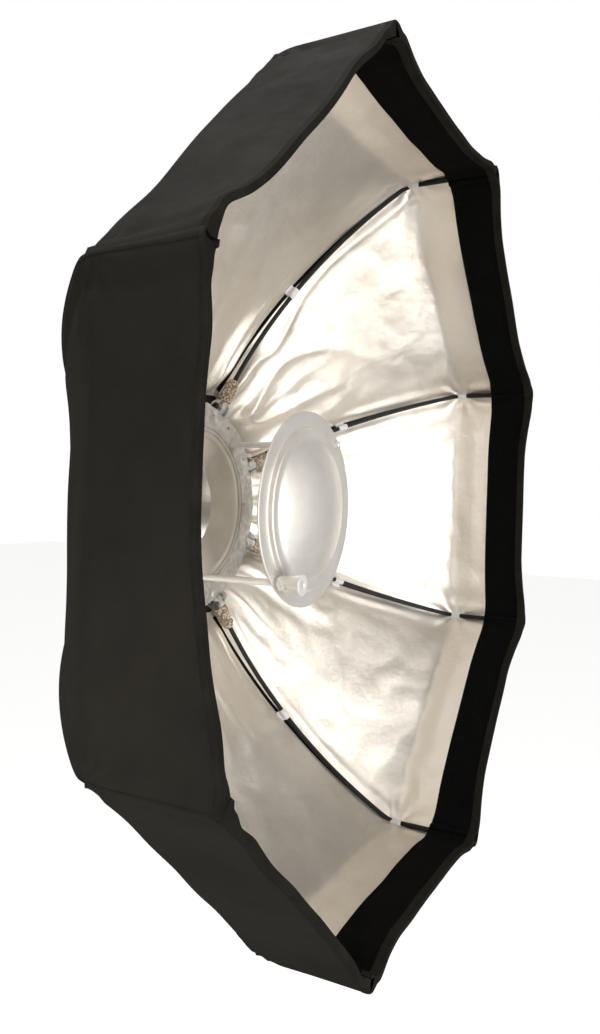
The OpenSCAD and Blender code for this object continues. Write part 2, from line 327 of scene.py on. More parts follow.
def silver_satin():
    paint = Paint("silver_satin", Metallic=0.86, Roughness=0.42, Specular_IOR_Level=0.5)
    paint.colour(paint.noise(7, 4), (0.76, 0.70, 0.62), (0.86, 0.82, 0.76))
    paint.rough(paint.noise(30, 4), 0.37, 0.46)
    crinkle = paint.bump(paint.noise(55, 5, 0.6), 0.0009)
    fine = paint.bump(paint.noise(260, 3, 0.6), 0.00012, crinkle)
    return paint.finish(paint.weave(LINING_THREAD, 0.00004, fine))


def loop_pile():
    paint = Paint("loop_pile", Roughness=0.95, Specular_IOR_Level=0.05)
    paint.colour(paint.noise(900, 2), (0.0015, 0.0015, 0.0016), (0.0055, 0.0055, 0.0055))
    return paint.finish(paint.bump(paint.cells(1100.0), 0.0006))


def edge_binding():
    paint = Paint("edge_binding", Roughness=0.8, Specular_IOR_Level=0.13, Specular_Tint=WARM)
    paint.colour(paint.noise(60), (0.0070, 0.0068, 0.0058), (0.0110, 0.0106, 0.0090))
    return paint.finish(paint.bump(paint.ribs(BINDING_RIB, "X"), 0.00008))


def rod_paint():
    paint = Paint("rod_black", Roughness=0.5, Specular_IOR_Level=0.22)
    paint.colour(paint.noise(45, 4), (0.006, 0.006, 0.0065), (0.012, 0.012, 0.013))
    paint.rough(paint.noise(300), 0.42, 0.58)
    return paint.finish(paint.bump(paint.noise(700, 2), 0.00003))


def cast_metal():
    paint = Paint("cast_aluminium", Metallic=0.85, Roughness=0.52)
    stain = paint.product(paint.noise(22, 5), paint.noise(160))
    paint.colour(stain, (0.52, 0.505, 0.485), (0.78, 0.77, 0.755), 0.14, 0.34)
    paint.rough(paint.noise(120, 4), 0.45, 0.64)
    pits = paint.bump(paint.noise(520, 4, 0.7), 0.0006)
    return paint.finish(paint.bump(paint.noise(1500, 3, 0.7), 0.00018, pits))


def satin_metal(name, low, high, roughness, grain, metallic):
    """Metal between two colours; grain is the depth of its fine bump, or 0."""
    paint = Paint(name, Metallic=metallic, Roughness=roughness)
    paint.colour(paint.noise(25, 4), low, high)
    streaks = paint.noise(300, 3, 0.6)
    paint.rough(streaks, roughness - 0.04, roughness + 0.05)
    return paint.finish(paint.bump(streaks, grain) if grain else None)


def knurled_brass():
    """Tinted metal whose colour darkens in small cells: painted shade, as in the grooves of a knurl.
    """
    paint = Paint("knurled_brass", Metallic=0.5, Roughness=0.42)
    cells = paint.cells(430.0)
    # painted shade: the cells darken towards their edges to stand for the shade in the knurl's
    # grooves
    paint.colour(cells, (0.72, 0.65, 0.53), (0.27, 0.20, 0.135), 0.22, 0.66)
    paint.rough(paint.noise(300), 0.36, 0.50)
    return paint.finish(paint.bump(cells, -0.0004))


def ribbon_paint():
    paint = Paint("white_ribbon", Roughness=0.7, Sheen_Weight=0.2, Sheen_Roughness=0.4)
    paint.colour(paint.noise(300), (0.74, 0.74, 0.75), (0.88, 0.88, 0.89))
    return paint.finish(paint.weave(RIBBON_THREAD, 0.0002))


def moulded_black():
    paint = Paint("moulded_black", Roughness=0.5)
    paint.colour(paint.noise(80), (0.02, 0.02, 0.02), (0.032, 0.032, 0.031))
    paint.rough(paint.noise(500), 0.42, 0.6)
    return paint.finish(paint.bump(paint.noise(900), 0.00008))


# ---------------- mesh helpers
def settle(piece, body, slot, *nodes):
    """Puts a piece on a body, in place of the CAD nodes it stands for; the slot is not used."""
    if nodes:
        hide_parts(*nodes)
    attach(piece, body)


def add_object(name, verts, faces, material, normals=None, uvs=None):
    mesh = bpy.data.meshes.new(name)
    mesh.from_pydata([tuple(v) for v in verts], [], faces)
    if uvs is not None:
        layer = mesh.uv_layers.new(name="UVMap")
        corners = np.array([loop.vertex_index for loop in mesh.loops])
        layer.data.foreach_set("uv", np.asarray(uvs, np.float32)[corners].ravel())
    mesh.validate()
    mesh.shade_smooth()
    if normals is not None:
        mesh.normals_split_custom_set_from_vertices([tuple(n) for n in normals])
    mesh.materials.append(material)
    return link_object(name, mesh)


def face_outwards(piece):
    """Turns every face of a closed piece to the outside."""
    work = bmesh.new()
    work.from_mesh(piece.data)
    bmesh.ops.recalc_face_normals(work, faces=work.faces)
    work.to_mesh(piece.data)
    work.free()
    return piece


def grid_faces(rows, columns, wrap_rows=False, wrap_columns=False, start=0, flip=False):
    """The quads of a grid of points, numbered row by row from start."""
    faces = []
    for i in range(rows if wrap_rows else rows - 1):
        for k in range(columns if wrap_columns else columns - 1):
            a = start + i * columns + k
            b = start + i * columns + (k + 1) % columns
            c = start + (i + 1) % rows * columns + (k + 1) % columns
            d = start + (i + 1) % rows * columns + k
            faces.append((a, d, c, b) if flip else (a, b, c, d))
    return faces


def skin(name, rings, material, flip=False, uvs=None):
    """A closed tube through rings of points, with its two ends filled."""
    count = len(rings[0])
    verts = [point for ring in rings for point in ring]
    near = list(range(count))
    far = list(range(len(verts) - count, len(verts)))
    ends = [near, far[::-1]] if flip else [near[::-1], far]
    faces = grid_faces(len(rings), count, wrap_columns=True, flip=flip) + ends
    return add_object(name, verts, faces, material, uvs=uvs)


def in_rib_plane(n, r, y):
    """The point or direction with radius r, and y along the axis, in rib n's plane."""
    return Vector((r * math.cos(rib_angle(n)), y, r * math.sin(rib_angle(n))))


def lathe(name, outline, origin, axis, material, steps=96, closed=True, ripple=None):
    """Revolves an outline of (radius, height) points about axis through origin."""
    axis = Vector(axis).normalized()
    first = axis.orthogonal().normalized()
    second = axis.cross(first)
    verts = []
    for i in range(steps):
        turn = 2 * math.pi * i / steps
        out = math.cos(turn) * first + math.sin(turn) * second
        for radius, height in outline:
            extra = ripple(turn, height) if ripple else 0.0
            verts.append(Vector(origin) + out * (radius + extra) + axis * height)
    faces = grid_faces(steps, len(outline), wrap_rows=True, wrap_columns=closed)
    return add_object(name, verts, faces, material)


def keep_edges(piece, width, angle=30):
    bevel = piece.modifiers.new("edges", "BEVEL")
    bevel.width = width
    bevel.segments = 2
    bevel.limit_method = "ANGLE"
    bevel.angle_limit = math.radians(angle)
    bevel.harden_normals = True
    return piece


def refined(node, name, material, width):
    """A copy of a CAD node with its edges eased, which stands for it."""
    work = bmesh.new()
    work.from_mesh(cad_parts[node].data)
    bmesh.ops.remove_doubles(work, verts=work.verts, dist=1e-6)
    mesh = bpy.data.meshes.new(name)
    work.to_mesh(mesh)
    work.free()
    mesh.shade_smooth()
    mesh.materials.append(material)
    return keep_edges(link_object(name, mesh), width)


# ---------------- fabric
SIDE_STEPS = 34  # columns from a rib to the middle of a panel
LENGTH_STEPS = 110  # rows from rim to collar
SHELL_T = 0.0009
LINING_T = 0.0005
PLY_GAP = 0.0012
BAND_T = 0.0013
BAND_GAP = 0.0002
PILE = 0.0002
POCKET = 0.0065  # how much further in the band stands over a rod
PANEL_SAG, RIM_SAG, CONE_SAG = 0.0015, 0.0050, 0.0055  # inwards, at the middle of a panel
SLACK_RIB = 4  # the rim stands slack round this rib's tip
SLACK_TIP = 0.0125  # how much shorter that rod's tip stops
# frequency, height and seed of the noise in the cloth, and of the folds at the collar
SLOW, LOOSE, VALLEY = (7.0, 0.0050, 1), (22.0, 0.0015, 2), (12.0, 0.0016, 4)
CREASES, FLUFF = (30.0, 0.0016, 9), (120.0, PILE, 5)
GATHERS = ((4.2, 0.011, 7, 2.2), (9.5, 0.0035, 8, 4))  # and how steeply each grows to the collar
DRAWN_BACK = ((0.0, 0.25, 0.010), (0.45, 0.35, 0.012))  # ribs from that rib, width, depth
BELLIED_OUT = ((-0.1, 0.13, 0.008), (-0.75, 0.2, 0.005), (-0.38, 0.22, 0.006), (0.45, 0.35, 0.006))


def fabric_profile():
    """The shell's outer face in a rib plane: radius, height, and length from the rim."""
    step, round_over = 0.001, 9  # the bend is rounded over this many steps
    skirt_y = np.arange(RIM_Y, BEND_Y, step)
    skirt = np.stack([np.full(len(skirt_y), CORNER_R), skirt_y], 1)
    centre, radius, at_rear, at_bend = bowed((REAR_R, REAR_Y), (CORNER_R, BEND_Y), SHELL_BOW)
    turn = np.linspace(at_bend, at_rear, int(radius * (at_rear - at_bend) / step))
    line = np.concatenate([skirt, on_arc(centre, radius, turn)])
    pad = 3 * round_over
    head = line[0] - (line[1] - line[0]) * np.arange(pad, 0, -1)[:, None]
    tail = line[-1] + (line[-1] - line[-2]) * np.arange(1, pad + 1)[:, None]
    padded = np.concatenate([head, line, tail])
    kernel = np.exp(-0.5 * (np.arange(-pad, pad + 1) / round_over) ** 2)
    kernel /= kernel.sum()
    smooth = smoothed(padded, kernel)
    gaps = np.linalg.norm(np.diff(smooth, axis=0), axis=1)
    length = np.concatenate([[0], np.cumsum(gaps)])
    wanted = np.linspace(0, length[-1], LENGTH_STEPS)
    points = np.stack([np.interp(wanted, length, smooth[:, i]) for i in (0, 1)], 1)
    return points[:, 0], points[:, 1], wanted


def noise_at(points, frequency, seed):
    """Noise at each point of a grid."""
    shift = Vector((seed * 3.17, seed * 1.91, seed * 5.03))
    values = [noise.noise(Vector(p) * frequency + shift) for p in points.reshape(-1, 3)]
    return np.array(values).reshape(points.shape[:-1])


class Fabric:
    """The whole sewn box as one wrapped grid, so that its eight pieces meet without a mark.

    Columns go round the ribs and rows from the rim to the collar. w is 0 at a rib and 1 in the
    middle of a panel, s is the length from the rim, and cone is 0 at the bend and 1 at the collar.
    """

    def __init__(self):
        self.r, self.y, self.length = fabric_profile()
        near = np.linspace(0, 1, SIDE_STEPS + 1) ** 1.5
        columns = []
        for n in range(1, RIBS + 1):
            columns += [(n, -1, v) for v in near[:0:-1]] + [(n, 1, v) for v in near[:-1]]
        self.count = len(columns)
        self.shape = (self.count, LENGTH_STEPS)
        self.v = np.array([v for _, _, v in columns])[:, None]
        self.w = np.broadcast_to(self.v, self.shape)
        self.s = np.broadcast_to(self.length, self.shape)
        skirt = BEND_Y - RIM_Y
        self.cone = np.clip((self.s - skirt) / (self.length[-1] - skirt), 0, 1)
        self.place = np.array([n + s * x / 2 for n, s, x in columns])[:, None]
        self.lay_flat_panels(columns)
        self.angle = np.arctan2(self.base[..., 2], self.base[..., 0])
        self.shared = self.common_shape()
        self.base[..., 1] += self.retreat()

    def lay_flat_panels(self, columns):
        """Sets base, the points of eight flat panels, and out, the way each point faces."""
        corner = np.array([[math.cos(rib_angle(n)), math.sin(rib_angle(n))] for n, _, _ in columns])
        middle_angle = np.array([rib_angle(n) + s * HALF for n, s, _ in columns])
        middle = np.stack([np.cos(middle_angle), np.sin(middle_angle)], 1)
        across = (1 - self.v) * corner + self.v * middle * math.cos(HALF)
        facing = np.where(self.v == 0, corner / math.cos(HALF), middle)
        dr = np.gradient(self.r) * math.cos(HALF)
        dy = np.gradient(self.y)
        size = np.hypot(dr, dy)
        self.base = np.zeros(self.shape + (3,))
        self.base[..., 0] = across[:, :1] * self.r
        self.base[..., 2] = across[:, 1:] * self.r
        self.base[..., 1] = self.y
        self.out = np.zeros(self.shape + (3,))
        self.out[..., 0] = facing[:, :1] * (dy / size)
        self.out[..., 2] = facing[:, 1:] * (dy / size)
        self.out[..., 1] = -dr / size

    def wander(self, frequency, height, seed):
        """Noise over the grid's points, in metres."""
        return noise_at(self.base, frequency, seed) * height

    def radiating(self, frequency, along, seed):
        """Noise in folds that run from the collar outwards."""
        points = np.stack([np.cos(self.angle) * frequency, np.sin(self.angle) * frequency, along], -1)
        return noise_at(points, 1.0, seed)

    def gathers(self, frequency, seed):
        """Sharp-crested folds towards the collar, from 0 in the valleys to 1 on the crests."""
        drift = self.s * 4.0 + self.wander(7.0, 0.9, seed + 20)
        fold = 1 - np.abs(self.radiating(frequency, drift, seed)) * 2.6
        return np.clip(fold, 0, 1) ** 2

    def bumps(self, table):
        """Soft bumps along the rim, from rows of a place counted in ribs, a width and a height."""
        total = 0.0
        for place, width, height in table:
            away = (self.place - (SLACK_RIB + place) + RIBS / 2) % RIBS - RIBS / 2
            total = total + height * np.exp(-(away / width) ** 2)
        return total

    def eased(self, start, end):
        """0 at the rib, 1 towards the middle of the panel, with level ends."""
        t = np.clip((self.w - start) / (end - start), 0, 1)
        return t * t * (3 - 2 * t)

    def across(self):
        """Each grid point's distance from its rib, along the panel."""
        return self.w * self.r * math.sin(HALF)

    def retreat(self):
        """How far the rim is drawn back, in metres: between the rods, and along one slack side."""
        fade = np.clip(1 - self.s / 0.12, 0, 1) ** 2
        return (0.0055 * self.eased(0.05, 0.6) + self.bumps(DRAWN_BACK)) * fade

    def rounded_corner(self):
        """How far the cloth rounds off each rib's corner, in metres inwards."""
        radius = 0.008 + 0.016 * (1 - self.cone)
        reach = radius * math.tan(HALF)
        inside = np.minimum(self.across() - reach, 0)
        return radius - np.sqrt(radius ** 2 - inside ** 2)

    def puckers(self, at_s, size, folds):
        """Small creases that fan out from where a ribbon loop pulls on the cloth."""
        away = np.hypot(self.across(), self.s - at_s)
        fan = np.cos(folds * np.arctan2(self.s - at_s, self.across() + 1e-6))
        return fan * np.exp(-(away / 0.028) ** 2) * np.clip(away / 0.007, 0, 1) * size

    def common_shape(self):
        """How the sewn cloth leaves the flat panels: sag, billow and slack, in metres outwards."""
        mid = self.w * (2 - self.w)
        sag = -PANEL_SAG * mid - RIM_SAG * self.eased(0.07, 0.34) * np.exp(-self.s / 0.06)
        sag = sag - CONE_SAG * mid * np.sin(math.pi * self.cone) ** 0.7 - self.rounded_corner()
        folds = self.radiating(8, self.s * 3.0, 3) * 0.0020 * (0.25 + 0.75 * self.cone ** 2)
        off_seam = np.minimum(self.w * 6, 1)
        loose = (self.wander(*SLOW) + self.wander(*LOOSE) + folds * self.cone) * off_seam
        valley = 0.0022 + self.wander(*VALLEY)  # along both sides of each rib
        loose = loose - valley * np.exp(-((self.across() - 0.013) / 0.006) ** 2)
        off_rib = np.clip(self.w * 30, 0, 1)
        loose = loose + self.puckers(BEND_Y - RIM_Y - 0.006, 0.0011, 9) * off_rib
        held = np.clip((1 - self.cone) * 9, 0, 1)
        return sag + self.bumps(BELLIED_OUT) * np.exp(-self.s / 0.09) + loose * held

    def surface(self, offset):
        """Points at an offset inside the shell's outer face, which may vary over the grid."""
        return self.base + self.out * (self.shared - offset)[..., None]

    def normals(self, points):
        """The surface's normals at every grid point, facing outwards."""
        along = np.roll(points, -1, 0) - np.roll(points, 1, 0)
        down = np.gradient(points, axis=1)
        normal = np.cross(down, along)
        normal /= np.linalg.norm(normal, axis=-1, keepdims=True)
        facing = np.sign((normal * self.out).sum(-1).mean())
        return normal * facing

    def gore(self, n):
        """The wrapped grid's columns for rib n, from one mid-panel to the next."""
        first = (n - 1) * 2 * SIDE_STEPS
        return (first + np.arange(2 * SIDE_STEPS + 1)) % self.count

    def signed(self, columns):
        """A gore's columns from -1 at one mid-panel, over 0 at the rib, to 1 at the next."""
        return np.where(np.arange(len(columns)) < SIDE_STEPS, -1, 1) * self.v[columns, 0]

    def row_at(self, length):
        return int(np.searchsorted(self.length, length))


FABRIC = Fabric()


def ply(name, outer, inner, n, rows, material):
    """One rib's piece of a ply as a closed thin solid, with the whole cloth's normals."""
    columns = FABRIC.gore(n)
    rows = np.arange(rows[0], rows[1])
    pick = np.ix_(columns, rows)
    normals = FABRIC.normals(outer)[pick]
    top, under = outer[pick], inner[pick]
    m, k = len(columns), len(rows)
    verts = np.concatenate([top.reshape(-1, 3), under.reshape(-1, 3)])
    shading = np.concatenate([normals.reshape(-1, 3), -normals.reshape(-1, 3)])
    faces = grid_faces(m, k) + grid_faces(m, k, start=m * k, flip=True)
    ring = [i * k for i in range(m)]
    ring += [(m - 1) * k + j for j in range(1, k)]
    ring += [i * k + k - 1 for i in range(m - 2, -1, -1)]
    ring += [j for j in range(k - 2, 0, -1)]
    for i, a in enumerate(ring):
        b = ring[(i + 1) % len(ring)]
        faces.append((a, b, b + m * k, a + m * k))
    uv = np.zeros((m, k, 2))
    uv[..., 0] = (FABRIC.signed(columns) * (CORNER_R * math.sin(HALF)))[:, None]
    uv[..., 1] = FABRIC.length[rows]
    uvs = np.concatenate([uv.reshape(-1, 2)] * 2)
    return add_object(name, verts, faces, material, normals=shading, uvs=uvs)


def follow_rib(piece, n):
    """The piece rides on rib n, with a mesh of its own."""
    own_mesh(piece)
    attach(piece, f"rib_{n}")


def lining_depth():
    """How far the lining lies inside the shell's face, with its gathers and creases."""
    loose = 0.0
    for frequency, height, seed, growth in GATHERS:
        loose = loose + FABRIC.gathers(frequency, seed) * height * FABRIC.cone ** growth
    loose *= np.clip((1 - FABRIC.cone) * 12, 0, 1)
    creases = np.abs(FABRIC.wander(*CREASES))
    billow = 0.003 * FABRIC.w * (2 - FABRIC.w)
    past_band = np.clip((FABRIC.s - BAND_W) / 0.02, 0, 1)
    off_seam = np.minimum(FABRIC.w * 4, 1)
    return SHELL_T + PLY_GAP + off_seam * (loose + (creases + billow) * past_band)


def make_fabric(paints):
    """Shell, lining and band for each rib, with the trims that are sewn to them."""
    lining = lining_depth()
    band = lining + LINING_T + BAND_GAP
    band_face = band + BAND_T + POCKET * np.exp(-(FABRIC.across() / 0.011) ** 2)
    pile = FABRIC.wander(*FLUFF)
    flush = np.zeros(FABRIC.shape)
    rows = (0, LENGTH_STEPS)
    band_rows = (0, FABRIC.row_at(BAND_W) + 1)
    sheets = [(kind, FABRIC.surface(outer), FABRIC.surface(inner), span, slot)
              for kind, outer, inner, span, slot in (
                  ("shell", flush, flush + SHELL_T, rows, "shell_fabric"),
                  ("lining", lining, lining + LINING_T, rows, "lining_silver"),
                  ("band", band, band_face + pile, band_rows, "loop_band"))]
    for n in range(1, RIBS + 1):
        trims = [binding(n, band_face, paints["binding"]), welt(n, paints["shell"]),
                 seam_tape(n, lining, paints["tape"])]
        for kind, outer, inner, span, slot in sheets:
            piece = ply(f"{kind}_{n}", outer, inner, n, span, paints[kind])
            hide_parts(f"rib_{n}_{kind}")
            follow_rib(piece, n)
        for trim in trims:
            follow_rib(trim, n)


OUTER_SHARE = 0.55  # of the binding's width that shows outside
EDGE_PROUD = 0.0009  # how far the binding stands out past the cloth's raw edge
PANEL_W, BINDING_GIRTH = 0.268, 0.03  # for the binding's UV map


def binding(n, band_face, material):
    """The bias tape folded over the rim: one side outside, round the edge, and one side inside."""
    columns = FABRIC.gore(n)
    rows = np.linspace(0, FABRIC.row_at(BINDING_W), 7)
    # each station: its row, 1 if it lies inside, and how far in from the cloth's face it lies
    stations = [(row * OUTER_SHARE, 0, -0.0004 if row > 0.5 else -0.0002) for row in rows[::-1]]
    stations += [(row, 1, 0.0007 if row > 0.5 else 0.0003) for row in rows]
    grid = np.zeros((len(columns), len(stations), 3))
    for k, (row, inside, further_in) in enumerate(stations):
        low = min(int(row), LENGTH_STEPS - 2)
        part = row - low
        base = FABRIC.base[columns, low] * (1 - part) + FABRIC.base[columns, low + 1] * part
        shared = FABRIC.shared[columns, low] * (1 - part) + FABRIC.shared[columns, low + 1] * part
        depth = band_face[columns, low] * inside + further_in
        grid[:, k] = base + FABRIC.out[columns, low] * (shared - depth)[:, None]
        if row < 0.5:
            grid[:, k, 1] -= EDGE_PROUD
    run, around = np.meshgrid(np.arange(len(columns)) / len(columns) * PANEL_W,
                              np.linspace(0, BINDING_GIRTH, len(stations)), indexing="ij")
    uvs = np.stack([run, around], -1).reshape(-1, 2)
    piece = skin(f"rim_binding_{n}", grid, material, flip=True, uvs=uvs)
    return keep_edges(piece, 0.0004, 50)


def strip_on_cloth(name, n, material, depth, rows, half_width, height):
    """A strip sewn along a rib's seam, on the face of the cloth at a depth and standing inwards."""
    sides = np.linspace(-1, 1, 7)
    crown = (height * (0.35 + 0.65 * np.sqrt(1 - sides * sides)))[:, None]
    columns = FABRIC.gore(n)
    signed = FABRIC.signed(columns)
    rings, uvs = [], []
    for row in range(*rows):
        at = sides * (half_width / (FABRIC.r[row] * math.sin(HALF)))
        out = FABRIC.out[columns, row]
        face = FABRIC.base[columns, row] + out * (
            FABRIC.shared[columns, row] - depth[columns, row])[:, None]
        foot = np.stack([np.interp(at, signed, face[:, i]) for i in range(3)], 1)
        lift = np.stack([np.interp(at, signed, out[:, i]) for i in range(3)], 1) * crown
        rings.append(np.concatenate([foot - lift, foot[::-1]]))
        uvs += [(k * 0.001, FABRIC.length[row]) for k in range(2 * len(sides))]
    return face_outwards(skin(name, rings, material, flip=height < 0, uvs=uvs))


def welt(n, material):
    """The rolled seam outside along the rib."""
    return strip_on_cloth(f"seam_welt_{n}", n, material, np.full(FABRIC.shape, 0.0002),
                          rows=(0, LENGTH_STEPS - 2), half_width=0.0014, height=-0.0009)


def seam_tape(n, lining, material):
    """The black tape inside that covers the seam behind the rod."""
    return strip_on_cloth(f"seam_tape_{n}", n, material, lining + LINING_T,
                          rows=(FABRIC.row_at(BAND_W), LENGTH_STEPS - 2), half_width=0.0034,
                          height=0.0006)


# ---------------- rib hardware
TIP_CAP = 0.012  # length of the slightly thicker cap on a rod's tip
LOOP_W = 0.011
RIBBON_T = 0.0005
FOOT_FROM = 0.004
LOOP_ANGLE = math.radians(58.5)  # where on the rod's arc the inner ribbon sits
OUTER_LOOP_Y = BEND_Y - 0.0065
KNURL_TURNS = 7
KNURL_PITCH = 1050.0


def rod_line():
    """The rod's centreline from inside the socket to its tip, with the bend eased."""
    centre, radius, at_rear, at_bend = ROD_ARC
    turn = np.linspace(at_rear, at_bend, 90)
    arc = on_arc(centre, radius, turn)
    skirt_y = np.linspace(BEND_Y, RIM_Y + 0.007, 28)[1:]
    skirt = np.stack([np.full(len(skirt_y), ROD_R), skirt_y], 1)
    line = np.concatenate([arc, skirt])
    padded = np.concatenate([line[:1]] * 4 + [line] + [line[-1:]] * 4)
    kernel = np.array([1, 4, 9, 14, 16, 14, 9, 4, 1]) / 72
    eased = smoothed(padded, kernel)
    eased[:5], eased[-5:] = line[:5], line[-5:]
    return eased


def tube_in_plane(name, n, line, radii, material, sides=20):
    """A tube along a line of (radius, height) points in rib n's plane."""
    side = rib_side(n)
    turns = [2 * math.pi * k / sides for k in range(sides)]
    rings = []
    for (r, y), (dr, dy), radius in zip(line, np.gradient(line, axis=0), radii):
        along = in_rib_plane(n, dr, dy).normalized()
        up = along.cross(side)
        centre = in_rib_plane(n, r, y)
        rings.append([centre + (math.cos(t) * up + math.sin(t) * side) * float(radius)
                      for t in turns])
    return skin(name, rings, material)


def make_rod(n, paints):
    line = rod_line()
    gap = np.linalg.norm(line - line[-1], axis=1)
    radii = np.where(gap < TIP_CAP, ROD_D / 2 + 0.0004, ROD_D / 2)
    radii[-1] -= 0.0012
    if n == SLACK_RIB:  # this rod's tip stays inside the rim where it is drawn back
        line[:, 1] += SLACK_TIP * np.clip(1 - gap / 0.075, 0, 1)
    rod = tube_in_plane(f"rod_{n}", n, line, radii, paints["rod"])
    keep_edges(rod, 0.0004, 40)
    settle(rod, f"rib_{n}", "rod_black", f"rib_{n}_rod")


def ribbon(name, path, origin, across, outward, material):
    """A ribbon whose path is drawn in the plane of two directions, with its width square to it."""
    along = across.cross(outward)
    path = np.array(path)
    steps = np.gradient(path, axis=0)
    normal = np.stack([-steps[:, 1], steps[:, 0]], 1)
    normal /= np.linalg.norm(normal, axis=1, keepdims=True)
    outline = np.concatenate([path + normal * RIBBON_T / 2, (path - normal * RIBBON_T / 2)[::-1]])
    stations = ((-0.5, 0.96), (-0.47, 1.0), (0.0, 1.03), (0.47, 1.0), (0.5, 0.96))
    verts = []
    for t, swell in stations:  # the feet, which lie further out, don't swell
        verts += [origin + across * (x * swell) + outward * (z if z > FOOT_FROM else z * swell)
                  + along * (t * LOOP_W) for x, z in outline]
    count = len(outline)
    faces = grid_faces(len(stations), count, wrap_columns=True)
    for first, flip in ((0, False), (len(verts) - count, True)):
        for k in range(count // 2 - 1):
            a, c = first + k, first + count - 2 - k
            faces.append((a, c + 1, c, a + 1) if flip else (a, a + 1, c, c + 1))
    uvs = [(k * 0.0012, t * 0.003) for t in range(len(stations)) for k in range(count)]
    return face_outwards(add_object(name, verts, faces, material, uvs=uvs))


def wrap_path(hug, open_at):
    """A ribbon's path round the rod, open towards the cloth."""
    turn = np.radians(np.linspace(open_at, -180 - open_at, 22))
    return [(hug * math.cos(t), hug * math.sin(t)) for t in turn]


def footed_path(hug, reach):
    """The same with a neck and two feet that are sewn to the lining at a reach from the rod."""
    neck = hug * 0.35
    start = [(0.0055, reach - 0.0012), (0.0028, reach - 0.0010), (neck, reach - 0.0018),
             (neck, hug + 0.0012)]
    return start + wrap_path(hug, 55) + [(-x, z) for x, z in reversed(start)]


def make_loops(n, paints):
    """The two ribbons sewn into the seam that hold the rod: one on its arc, one past the bend."""
    hug = ROD_D / 2 + 0.0005
    plies = (SHELL_T + PLY_GAP + LINING_T) / math.cos(HALF)
    for name, angle in (("inner", LOOP_ANGLE), ("outer", 0.0)):
        r, y = on_arc(*ROD_ARC[:2], angle) if name == "inner" else (ROD_R, OUTER_LOOP_Y)
        reach = float(np.hypot(FABRIC.r - r, FABRIC.y - y).min()) - plies - 0.0012
        path = footed_path(hug, reach) if name == "inner" else wrap_path(hug, 25)
        piece = ribbon(f"ribbon_{name}_{n}", path, in_rib_plane(n, r, y), rib_side(n),
                       in_rib_plane(n, math.cos(angle), math.sin(angle)), paints["ribbon"])
        if name == "inner":
            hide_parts(f"rib_{n}_loops")
        follow_rib(piece, n)


def knurl(low, high, depth):
    """A ripple for lathe() that cuts crossed grooves between two heights."""
    def ripple(turn, height):
        if not low < height < high:
            return 0.0
        first = abs(math.cos(KNURL_TURNS * turn + height * KNURL_PITCH))
        second = abs(math.cos(KNURL_TURNS * turn - height * KNURL_PITCH))
        return -depth * (1 - min(first, second))
    return ripple


def make_socket(n, paints):
    axis = in_rib_plane(n, math.cos(ROD_TILT), math.sin(ROD_TILT))
    pivot = in_rib_plane(n, PIVOT_R, PIVOT_Y)
    wide = SOCKET_D / 2
    bore = ROD_D / 2 + 0.0005
    end = ROOT_LEN + SOCKET_LEN
    knurl_top, knurl_foot = end - 0.0014, ROOT_LEN + 0.0012
    outline = [(bore, ROOT_LEN + 0.004), (bore, end + 0.0036), (bore + 0.0004, end + 0.004),
               (bore + 0.0010, end + 0.004), (bore + 0.0016, end + 0.0034),
               (wide - 0.0016, end + 0.0002), (wide - 0.0008, end - 0.0001),
               (wide - 0.0001, end - 0.0009)]
    outline += [(wide, h) for h in np.linspace(knurl_top, knurl_foot, 46)]
    outline += [(wide - 0.0003, ROOT_LEN + 0.0004), (wide - 0.0012, ROOT_LEN), (0.0002, ROOT_LEN)]
    barrel = lathe(f"socket_{n}", outline, pivot, axis, paints["socket"], steps=140,
                   ripple=knurl(knurl_foot, knurl_top, 0.0013))
    settle(barrel, f"rib_{n}", "socket_metal", f"rib_{n}_socket")
    make_tongue(n, pivot, axis, paints)


def make_tongue(n, pivot, axis, paints):
    """The flat tongue that turns between the clevis ears, as an extruded outline with a round end."""
    side = rib_side(n)
    across = axis.cross(side)
    half_height, half_thick, reach = 0.0045, 0.0029, ROOT_LEN + 0.001
    outline = [(reach, -half_height), (reach, half_height)]
    for t in np.radians(np.linspace(90, 270, 17)):
        outline.append((half_height * 1.25 * math.cos(t), half_height * math.sin(t)))
    verts = [pivot + axis * x + across * y + side * (s * half_thick)
             for s in (-1, 1) for x, y in outline]
    count = len(outline)
    faces = [tuple(range(count)), tuple(range(2 * count - 1, count - 1, -1))]
    faces += [(k, k + count, (k + 1) % count + count, (k + 1) % count) for k in range(count)]
    piece = face_outwards(add_object(f"tongue_{n}", verts, faces, paints["cast"]))
    keep_edges(piece, 0.0005)
    settle(piece, f"rib_{n}", "socket_metal")


# ---------------- hub
def make_ring(paints):
    """The casting, the hinge pins and the retaining ring: the CAD parts with their edges eased."""
    for node, name, paint, edge, slot in (
            ("speed_ring", "ring_casting", "cast", 0.0005, "cast_ring"),
            ("pivot_pins", "hinge_pins", "pin", 0.0002, "pin_steel"),
            ("retaining_ring", "ring_clip", "insert", 0.00015, "insert_metal")):
        settle(refined(node, name, paints[paint], edge), "ring", slot, node)
    make_lobes(paints)


